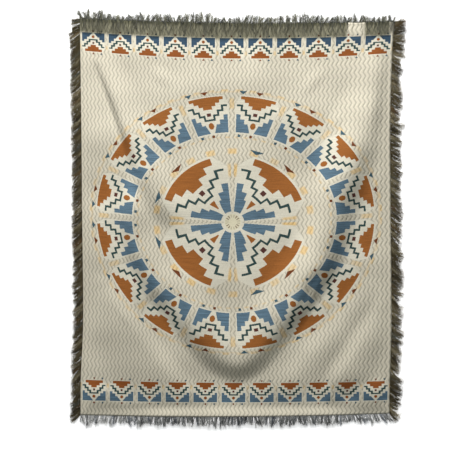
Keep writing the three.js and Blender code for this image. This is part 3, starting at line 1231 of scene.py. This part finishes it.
@dataclass
class WovenCloth:
    """The woven sheet: a thin closed skin over the ridges, with its face and its back."""

    lay: Lay
    columns: int = 190
    rows: int = 240

    def grid(self) -> tuple[Array, Array]:
        """Spreads the places of the mesh over the flat cut, row by row from its lower left corner.

        Returns:
            The u and the v of each place.
        """
        u = np.linspace(-self.lay.width / 2, self.lay.width / 2, self.columns + 1)
        v = np.linspace(-self.lay.height / 2, self.lay.height / 2, self.rows + 1)
        across, up = np.meshgrid(u, v)
        return across.ravel(), up.ravel()

    def settle(self) -> None:
        """Moves the lay so that the cloth has the place of its solid."""
        x, y = self.lay.on_ground(*self.grid())
        low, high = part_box("cloth")
        centre = np.array([(low.x + high.x) / 2, (low.y + high.y) / 2])
        self.lay.shift = centre - np.array([(x.min() + x.max()) / 2, (y.min() + y.max()) / 2])

    def skin(self) -> Array:
        """Joins the places of the grid to the face, the back and the rim.

        Returns:
            Faces with four corners, first those of the face and then those of the back.
        """
        across = self.columns + 1
        count = across * (self.rows + 1)
        column, row = np.meshgrid(np.arange(self.columns), np.arange(self.rows))
        a = (row * across + column).ravel()
        upper = np.stack([a, a + 1, a + 1 + across, a + across], axis=1)
        bottom = np.arange(self.columns)
        top = bottom + self.rows * across
        left = np.arange(self.rows) * across
        right = left + self.columns
        rims = [
            np.stack([bottom + count, bottom + 1 + count, bottom + 1, bottom], axis=1),
            np.stack([top, top + 1, top + 1 + count, top + count], axis=1),
            np.stack([left, left + across, left + across + count, left + count], axis=1),
            np.stack([right + count, right + across + count, right + across, right], axis=1),
        ]
        return np.vstack([upper, upper[:, ::-1] + count, *rims])

    def build(self, face: bpy.types.Material, back: bpy.types.Material) -> bpy.types.Object:
        """Builds the cloth.

        Args:
            face: The finish of its upper face.
            back: The finish of its underside.

        Returns:
            The cloth.
        """
        u, v = self.grid()
        under = np.stack([*self.lay.on_ground(u, v), self.lay.lift(u, v)], axis=1)
        over = under + np.array([0, 0, self.lay.thickness])
        faces = self.skin()
        piece = mesh_object("blanket_cloth", np.vstack([over, under]), faces)
        flat = np.stack([np.tile(u, 2), np.tile(v, 2)], axis=1)
        add_uv_map(piece, "FlatCut", flat[faces.ravel()])
        piece.data.materials.append(face)
        piece.data.materials.append(back)
        cells = self.columns * self.rows
        slots = np.zeros(len(faces), np.int32)
        slots[cells : 2 * cells] = 1
        piece.data.polygons.foreach_set("material_index", slots)
        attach(piece, ROOT)
        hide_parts("cloth")
        return piece


class Edge(Enum):
    """An edge of the cloth: the corners where it starts and ends, and on which side the way out is."""

    TOP = ((-1, 1), (1, 1), 1)
    RIGHT = ((1, 1), (1, -1), 1)
    BOTTOM = ((-1, -1), (1, -1), -1)
    LEFT = ((-1, 1), (-1, -1), -1)


class Sweep(NamedTuple):
    """How far the locks lean from straight out towards the edge's end, in degrees, at a share of the edge."""

    at: float
    angle: float


STRAY_FACTORS = (12.9898, 78.233, 43758.5453)


def stray(index: Array, salt: float) -> Array:
    """Gives a repeatable number from 0 to 1 for each index."""
    raw = np.sin(index * STRAY_FACTORS[0] + salt * STRAY_FACTORS[1]) * STRAY_FACTORS[2]
    return raw - np.floor(raw)


def waver(index: Array, salt: float) -> Array:
    """Gives a number from -1 to 1 that changes a little from one lock to the next, and now and then more."""
    return 0.6 * np.sin(index * 0.55 + salt) + 0.8 * (stray(index, salt) - 0.5)


@dataclass(frozen=True)
class Folds:
    """The strands of a fringe that are folded back over the face of the cloth, some of them in short loops.

    The bare stretch is a part of the edge where only a few are. A pair of reaches is the least and how much
    more there can be, and the reach of the long ones is a share of the longest.
    """

    strands: int
    bare: Pair
    bare_share: float = 0.93
    longest: float = 0.062
    long_reach: Pair = (0.50, 0.50)
    short_share: float = 0.35
    short_reach: Pair = (0.004, 0.006)
    short_pick: float = 0.7
    loops: Point = (0.002, 0.003, 0.004)
    drift: float = 0.22
    curl: float = 0.25
    pile: float = 0.0024
    clearance: float = 0.0004
    crown: float = 0.0012
    slope: float = 0.0008
    profile: Pairs = ((0.0, 0.0), (0.75, 0.0), (1.0, 0.5), (0.55, 1.0), (-0.2, 1.0))
    back_steps: Point = (0.35, 0.7, 1.0)


@dataclass
class Fringe:
    """The loose yarn ends along one edge, drawn together in locks, and the locks in bunches.

    The spread, splay, turns and curls say how far locks, bunches and single strands stray from their way, and
    ragged and fray how much shorter a bunch and a strand can be. The swell is how much the lengths rise and
    fall along the edge. A loose strand isn't gathered to its bunch, and the alike strands share their bunch's
    dye. The piles are how high bunches and strands lie over one another, and how much of that is left at the
    roots and tips. A row of own_lengths is a stretch of the edge and the length of the locks there.
    """

    lay: Lay
    node: str
    edge: Edge
    slot: str
    finish: FringeFinish
    salt: int
    locks: int
    bunches: int
    per_bunch: int
    length: float
    spread: float
    sweep: tuple[Sweep, ...]
    gather: float
    ragged: float
    splay: float
    loose: float
    swell: float = 0.0
    swell_waves: Pair = (27.0, 11.0)
    swell_start: float = 1.1
    alike: float = 0.62
    radius: float = 0.00062
    points: int = 5
    gap: float = 0.0003
    inset: float = 0.001
    pitch_spread: float = 0.16
    length_spread: float = 0.24
    spread_gain: float = 1.2
    own_lengths: tuple[Point, ...] = ()
    fray: float = 0.30
    overlap: float = 1.25
    margin: float = 0.0005
    bunch_curl: float = 0.12
    strand_turn: float = 0.05
    strand_curl: float = 0.10
    loose_turn: float = 0.28
    loose_curl: float = 0.40
    raised: float = 0.0
    bunch_pile: float = 0.0020
    strand_pile: float = 0.0012
    root_pile: float = 0.4
    root_rise: float = 0.0006
    tip_pile: float = 0.35
    fall: float = 1.15
    taper: float = 0.45
    folds: Folds | None = None

    def on_flat(self, share: Array) -> tuple[Array, Array]:
        """Finds places of the edge on the flat cut.

        Args:
            share: How far along the edge each place is, from 0 to 1.

        Returns:
            The u and the v of each place.
        """
        start, end, _ = self.edge.value
        u = (start[0] + (end[0] - start[0]) * share) * self.lay.width / 2
        v = (start[1] + (end[1] - start[1]) * share) * self.lay.height / 2
        return u, v

    def edge_places(self, share: Array) -> tuple[Array, Array, Array]:
        """Finds places on the edge.

        Args:
            share: How far along the edge each place is, from 0 to 1.

        Returns:
            The places on the ground, the way along the edge and the way out of the cloth.
        """

        def point(s: Array) -> Array:
            """Lays places of the edge on the ground."""
            return np.stack(self.lay.on_ground(*self.on_flat(s)), axis=1)

        probe = 0.002
        along = point(np.minimum(share + probe, 1)) - point(np.maximum(share - probe, 0))
        along /= np.linalg.norm(along, axis=1)[:, None]
        out = np.stack([-along[:, 1], along[:, 0]], axis=1) * self.edge.value[2]
        return point(share), along, out

    def lock_of(self, index: Array) -> tuple[Array, Array, Array]:
        """Finds where each lock stands, which way it points and how long it is.

        Args:
            index: The locks' numbers.

        Returns:
            Their shares of the edge, their angles in radians and their lengths.
        """
        share = (index + 0.5 + self.pitch_spread * (stray(index, self.salt) - 0.5)) / self.locks
        wander = waver(index, self.salt + 1) * self.spread
        swept = np.interp(share, [row.at for row in self.sweep], [row.angle for row in self.sweep])
        length = np.full(len(index), self.length)
        for low, high, own in self.own_lengths:
            length[(share > low) & (share < high)] = own
        length *= 1 + self.length_spread * (stray(index, self.salt + 2) - 0.5)
        return share, np.radians(swept + wander * self.spread_gain), length

    def lying(self, rng: np.random.Generator) -> tuple[Array, Array, Array]:
        """Lays out the strands that lie on the ground.

        Args:
            rng: The source of unevenness.

        Returns:
            The points of each strand, the level way across it, and a number from 0 to 1 that picks its dye.
        """
        bunch = np.arange(self.locks * self.bunches)
        share, angle, length = self.lock_of(bunch // self.bunches)
        share = share + ((bunch % self.bunches + 0.5) / self.bunches - 0.5) / self.locks
        angle = angle + rng.normal(0, self.splay, len(bunch))
        length = length * (1 - self.ragged * rng.random(len(bunch)))
        short_wave, long_wave = self.swell_waves
        wave = self.swell * np.sin(share * short_wave + self.swell_start) * np.sin(share * long_wave)
        length = length * (1 + wave)
        bend = rng.normal(0, self.bunch_curl, len(bunch))
        level = self.raised + rng.random(len(bunch)) * self.bunch_pile
        dye = rng.random(len(bunch))

        index = np.repeat(bunch, self.per_bunch)
        count = len(index)
        offset = rng.random(count) - 0.5
        own = np.clip(share[index] + offset * self.overlap / len(bunch), self.margin, 1 - self.margin)
        root, along, out = self.edge_places(own)
        centre, _, _ = self.edge_places(np.clip(share, self.margin, 1 - self.margin))
        loose = rng.random(count) < self.loose
        turned = angle[index] + rng.normal(0, 1, count) * np.where(loose, self.loose_turn, self.strand_turn)
        curl = bend[index] + rng.normal(0, 1, count) * np.where(loose, self.loose_curl, self.strand_curl)
        reach = length[index] * (1 - self.fray * rng.random(count) ** 2)
        drawn = ((root - centre[index]) * along).sum(axis=1) * np.where(loose, 0.0, self.gather)
        steps = np.linspace(0, 1, self.points)
        paths = np.zeros((count, self.points, 3))
        start = root + out * (self.gap - self.inset)

        def heading(turn: Array) -> Array:
            """Gives the ways that lie at these angles from straight out."""
            return out * np.cos(turn)[:, None] + along * np.sin(turn)[:, None]

        for n, s in enumerate(steps):
            way = heading(turned + curl * s)
            paths[:, n, :2] = start + way * (reach * s)[:, None] - along * (drawn * s)[:, None]
        layer = level[index] + rng.random(count) * self.strand_pile
        layer = layer + (0.5 - np.abs(offset)) * self.strand_pile
        pile = self.tip_pile + (1 - self.tip_pile) * np.sin(np.pi * np.minimum(steps * self.fall, 1))
        hem = self.lay.lift(*self.on_flat(own))
        paths[:, :, 2] = self.radius + layer[:, None] * pile + hem[:, None] * (1 - steps)
        paths[:, 0, 2] = self.radius + self.root_rise + layer * self.root_pile + hem
        way = heading(turned)
        side = np.stack([-way[:, 1], way[:, 0], np.zeros(count)], axis=1)
        picks = np.where(rng.random(count) < self.alike, dye[index], rng.random(count))
        return paths, side, picks

    def folded_back(self, rng: np.random.Generator, folds: Folds) -> tuple[Array, Array, Array]:
        """Lays out the strands that are folded back over the face of the cloth at the top edge.

        Args:
            rng: The source of unevenness.
            folds: How many they are and how they lie.

        Returns:
            The points of each strand, the level way across it, and a number from 0 to 1 that picks its dye.
        """
        share = rng.random(folds.strands)
        low, high = folds.bare
        share = share[~((share > low) & (share < high) & (rng.random(folds.strands) < folds.bare_share))]
        count = len(share)
        short = rng.random(count) < folds.short_share
        root, along, out = self.edge_places(share)
        drift = rng.normal(0, folds.drift, count)
        (least, more), (long_least, long_more) = folds.short_reach, folds.long_reach
        short_reach = least + more * rng.random(count)
        reach = np.where(short, short_reach, folds.longest * (long_least + long_more * rng.random(count)))
        short_loop, long_loop, more = folds.loops
        loop = np.where(short, short_loop, long_loop) + more * rng.random(count)
        layer = rng.random(count) * folds.pile
        turns = len(folds.profile)
        paths = np.zeros((count, turns + len(folds.back_steps), 3))
        top = self.lay.thickness + self.radius + folds.clearance + layer
        for n, (far, up) in enumerate(folds.profile):
            paths[:, n, :2] = root + out * (far * loop)[:, None]
            paths[:, n, 2] = self.radius + up * (top - self.radius + folds.crown)
        curl = rng.normal(0, folds.curl, count)
        u, v = self.on_flat(share)
        for n, s in enumerate(folds.back_steps, start=turns):
            back = -out * (reach * s)[:, None]
            aside = along * ((drift + curl * s) * reach * s)[:, None]
            paths[:, n, :2] = root + back + aside
            paths[:, n, 2] = top + folds.slope * (1 - s) + self.lay.lift(u, v - reach * s)
        side = np.stack([along[:, 0], along[:, 1], np.zeros(count)], axis=1)
        picks = np.where(short, folds.short_pick, rng.random(count))
        return paths, side, picks

    def spun(self, paths: Array, side: Array) -> tuple[Array, Array, Array]:
        """Wraps a three-sided yarn around each path.

        Args:
            paths: The points of each strand.
            side: The level way across each strand.

        Returns:
            The points, the four-cornered faces, and how far along its strand each point is, from 0 to 1.
        """
        count, steps, _ = paths.shape
        ahead = np.gradient(paths, axis=1)
        ahead /= np.linalg.norm(ahead, axis=2)[:, :, None]
        across = np.repeat(side[:, None, :], steps, axis=1)
        over = np.cross(across, ahead)
        over[over[:, :, 2].sum(axis=1) < 0] *= -1
        shares = np.linspace(0, 1, steps)
        girth = self.radius * (1 - self.taper * shares**3)[None, :, None, None]
        turns = np.radians([90, 210, 330])
        ring = across[:, :, None, :] * np.cos(turns)[None, None, :, None]
        ring = ring + over[:, :, None, :] * np.sin(turns)[None, None, :, None]
        points = paths[:, :, None, :] + ring * girth
        first = (np.arange(count)[:, None] * steps + np.arange(steps - 1)[None, :]).ravel()[:, None] * 3
        corner = np.arange(3)
        following = (corner + 1) % 3
        corners = [first + corner, first + following, first + following + 3, first + corner + 3]
        faces = np.stack(corners, axis=2).reshape(-1, 4)
        return points.reshape(-1, 3), faces, np.tile(np.repeat(shares, 3), count)

    def build(self, grain: Group) -> bpy.types.Object:
        """Builds the fringe as one piece.

        Args:
            grain: The group of single threads.

        Returns:
            The fringe.
        """
        rng = np.random.default_rng(self.salt + 7)
        groups = [self.lying(rng)]
        if self.folds:
            groups.append(self.folded_back(rng, self.folds))
        points, faces, shares, picks = [], [], [], []
        base = 0
        for paths, side, group_picks in groups:
            group_points, group_faces, share = self.spun(paths, side)
            points.append(group_points)
            faces.append(group_faces + base)
            shares.append(share)
            picks.append(np.repeat(group_picks, paths.shape[1] * 3))
            base += len(group_points)
        corners = np.vstack(faces)
        piece = mesh_object(f"{self.node}_yarns", np.vstack(points), corners)
        strand = np.stack([np.concatenate(shares), np.concatenate(picks)], axis=1)
        add_uv_map(piece, "Strand", strand[corners.ravel()])
        piece.data.materials.append(self.finish.build(grain))
        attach(piece, ROOT)
        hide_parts(self.node)
        return piece


def fringes(lay: Lay) -> tuple[Fringe, ...]:
    """Lists the four fringes."""
    return (
        Fringe(
            lay, "fringe_left", Edge.LEFT, "weft_fringe", WEFT_ENDS, salt=0,
            locks=72, bunches=3, per_bunch=24, length=0.052, spread=2.0,
            sweep=(Sweep(0, 8), Sweep(0.03, 34), Sweep(0.07, 46), Sweep(1, 46)),
            gather=0.30, ragged=0.07, splay=0.05, loose=0.20, alike=0.75, fray=0.12, loose_turn=0.12,
            pitch_spread=0.3, length_spread=0.05, own_lengths=((0.0, 0.03, 0.037),),
        ),
        Fringe(
            lay, "fringe_right", Edge.RIGHT, "weft_fringe", WEFT_ENDS, salt=10,
            locks=72, bunches=2, per_bunch=36, length=0.057, spread=5.0,
            sweep=(Sweep(0, -24), Sweep(0.04, 4), Sweep(0.12, 32), Sweep(1, 38)),
            gather=0.60, ragged=0.30, splay=0.10, loose=0.42, alike=0.7, fray=0.35, loose_turn=0.16,
        ),
        Fringe(
            lay, "fringe_bottom", Edge.BOTTOM, "warp_fringe", WARP_ENDS, salt=20,
            locks=62, bunches=4, per_bunch=14, length=0.049, spread=6.0,
            sweep=(Sweep(0, -4), Sweep(0.85, 2), Sweep(1, 28)),
            gather=0.60, ragged=0.42, splay=0.16, loose=0.20, alike=0.85, radius=0.0006, fray=0.25,
            raised=0.001,
        ),
        Fringe(
            lay, "fringe_top", Edge.TOP, "warp_fringe", TOP_ENDS, salt=30,
            locks=64, bunches=3, per_bunch=14, length=0.041, spread=12.0,
            sweep=(Sweep(0, -14), Sweep(0.1, 6), Sweep(1, 8)),
            gather=0.40, ragged=0.40, splay=0.30, loose=0.35, swell=0.35, radius=0.0005, loose_turn=0.4,
            own_lengths=((0.01, 0.09, 0.043), (0.87, 0.90, 0.048)), folds=Folds(1250, bare=(0.86, 0.91)),
        ),
    )


# The studio


class Lamp(NamedTuple):
    """A soft square light: where it is, the point that it shines at, its side, and its power in watts."""

    name: str
    place: Point
    aim: Point
    size: float
    power: float


@dataclass
class Studio:
    """The pale floor, a raking key light beyond the top edge, a weak fill, an even sky, and the camera."""

    floor_size: float = 14.0
    floor_drop: float = 0.0006
    floor_colours: tuple[Colour, Colour] = ((0.93, 0.93, 0.93, 1.0), (0.95, 0.95, 0.95, 1.0))
    floor_glow: float = 0.6
    lamps: tuple[Lamp, ...] = (
        Lamp("key", (-0.60, 4.40, 1.55), (0.0, -0.2, 0.0), size=1.0, power=480.0),
        Lamp("fill", (1.8, -1.6, 3.0), (0.0, 0.0, 0.0), size=2.5, power=4.0),
    )
    sky_colour: Colour = (0.93, 1.0, 0.98, 1.0)
    sky_strength: float = 0.20
    camera_height: float = 6.0
    view_centre: Pair = (-0.0143, -0.0643)
    view_width: float = 1.833
    sensor: float = 36.0

    def floor(self) -> None:
        """Lays a pale, faintly uneven floor under the blanket."""
        half = self.floor_size / 2
        points = np.array([(-half, -half, 0), (half, -half, 0), (half, half, 0), (-half, half, 0)])
        piece = mesh_object("studio_floor", points, np.array([[0, 1, 2, 3]]))
        material, shader = new_material("pale_floor")
        tree = material.node_tree
        unevenness = noise(add_node(tree, "ShaderNodeTexCoord", "Object"), scale=3.0)
        feed_all(
            shader,
            Base_Color=mixed(tree, unevenness, *self.floor_colours),
            Roughness=0.9,
            Emission_Color=(1.0, 1.0, 1.0, 1.0),
            Emission_Strength=self.floor_glow,
        )
        piece.data.materials.append(material)
        piece.location.z = -self.floor_drop

    def lights(self) -> None:
        """Sets up the lamps and the sky."""
        for lamp in self.lamps:
            light = bpy.data.lights.new(lamp.name, "AREA")
            light.size = lamp.size
            light.energy = lamp.power
            holder = bpy.data.objects.new(lamp.name, light)
            holder.location = lamp.place
            shining = Vector(lamp.aim) - Vector(lamp.place)
            holder.rotation_euler = shining.to_track_quat("-Z", "Y").to_euler()
            bpy.context.scene.collection.objects.link(holder)
        world = bpy.data.worlds.new("studio")
        world.use_nodes = True
        feed_all(world.node_tree.nodes["Background"], Color=self.sky_colour, Strength=self.sky_strength)
        bpy.context.scene.world = world
        bpy.context.scene.view_settings.view_transform = "Standard"

    def camera(self) -> None:
        """Hangs the camera straight above the blanket."""
        lens = bpy.data.cameras.new("camera")
        lens.sensor_width = self.sensor
        lens.lens = self.sensor * self.camera_height / self.view_width
        holder = bpy.data.objects.new("camera", lens)
        holder.location = (*self.view_centre, self.camera_height)
        bpy.context.scene.collection.objects.link(holder)
        bpy.context.scene.camera = holder


def main() -> None:
    """Builds the blanket, its fringes and the studio in order."""
    logging.basicConfig(level=logging.INFO, format="%(message)s")
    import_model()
    lay = Lay()
    cloth = WovenCloth(lay)
    cloth.settle()
    design, ribs, grain = Design().group(), Zigzag().group(), Grain().group()
    face, back = (WovenFinish(side).build(design, ribs, grain) for side in Side)
    sheet = cloth.build(face, back)
    log.info("cloth: %d faces", len(sheet.data.polygons))
    for fringe in fringes(lay):
        piece = fringe.build(grain)
        log.info("%s: %d faces", piece.name, len(piece.data.polygons))
    studio = Studio()
    studio.floor()
    studio.lights()
    studio.camera()
    log.info("studio: floor, two lights and camera")
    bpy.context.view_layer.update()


if __name__ == "__main__":
    main()
